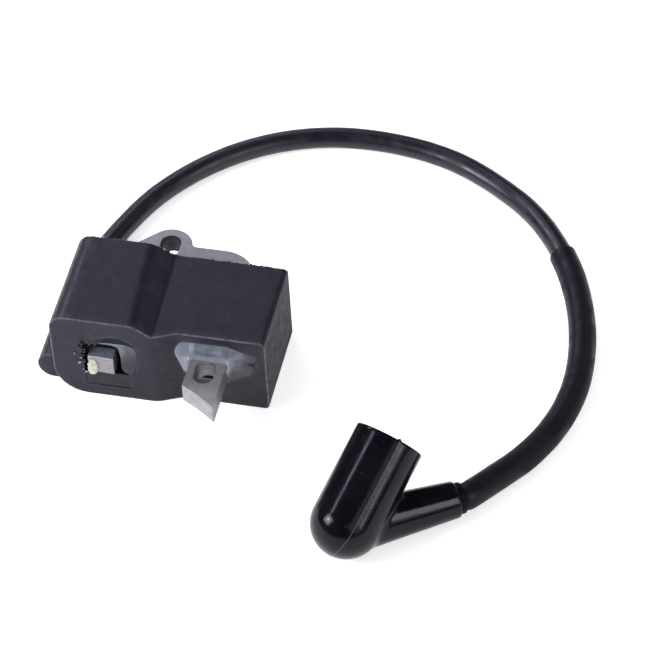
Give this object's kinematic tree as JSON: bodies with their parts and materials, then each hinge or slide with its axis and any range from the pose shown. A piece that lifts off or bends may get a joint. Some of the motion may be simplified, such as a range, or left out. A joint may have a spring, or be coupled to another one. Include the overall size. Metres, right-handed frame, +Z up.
{
  "type": "ignition coil",
  "caption": "Small-engine ignition coil: potted two-lobe black housing on a laminated steel core with two slotted screw lugs, and a sleeved high-tension lead to an angled spark-plug boot.",
  "frame": {"origin": "middle of the coil's own bounding box without its lead and boot, on the plane that the housing stands on", "axes": "+X to the right along the front face, +Y from the front face to the lug at the back, +Z up through the stack of laminations"},
  "size_m": [0.1472, 0.1581, 0.0294],
  "materials": {
    "housing_plastic": "moulded, slightly satin",
    "potting_resin": "cast, glossy",
    "clear_resin": "cast, glossy, milky blue-grey",
    "lamination_steel": "rolled, satin, with light ground pole faces",
    "glue": "dried drop, satin",
    "bobbin_plastic": "moulded",
    "copper_wire": "enamelled",
    "secondary_bobbin_plastic": "moulded",
    "board_laminate": "lacquered",
    "capacitor_case": "dipped",
    "component_black": "moulded",
    "resistor_body": "lacquered",
    "tinned_metal": "tinned",
    "lead_insulation": "smooth, satin",
    "sleeve_plastic": "smooth, matte",
    "boot_rubber": "moulded, glossy",
    "ring_rubber": "matte"
  },
  "bodies": {
    "coil": {"housing": "housing_plastic", "potting": "potting_resin", "leg_resin": "clear_resin", "pole_resin": "clear_resin", "core_lamination_1": "lamination_steel", "core_lamination_2": "lamination_steel", "core_lamination_3": "lamination_steel", "core_lamination_4": "lamination_steel", "core_lamination_5": "lamination_steel", "core_lamination_6": "lamination_steel", "glue_dab": "glue", "primary_bobbin": "bobbin_plastic", "primary_winding": "copper_wire", "coil_wire_1": "copper_wire", "coil_wire_2": "copper_wire", "secondary_winding_1": "copper_wire", "secondary_winding_2": "copper_wire", "secondary_winding_3": "copper_wire", "secondary_winding_4": "copper_wire", "secondary_bobbin": "secondary_bobbin_plastic", "circuit_board": "board_laminate", "capacitor": "capacitor_case", "thyristor": "component_black", "diode": "component_black", "resistor_1": "resistor_body", "resistor_2": "resistor_body", "earth_strip": "tinned_metal", "stop_terminal": "tinned_metal", "high_tension_wire": "tinned_metal", "high_tension_pin": "tinned_metal", "lead": "lead_insulation", "lead_sleeve": "sleeve_plastic", "boot_ring": "ring_rubber"},
    "boot": {"boot": "boot_rubber", "contact_spring": "tinned_metal"}
  },
  "joints": [
    {"name": "boot_twist", "type": "hinge", "parent": "coil", "child": "boot", "pos_m": [0.0879, -0.042, 0.0051], "axis": [0.8365, 0.5444, -0.0631], "range_deg": [-25, 65]}
  ]
}
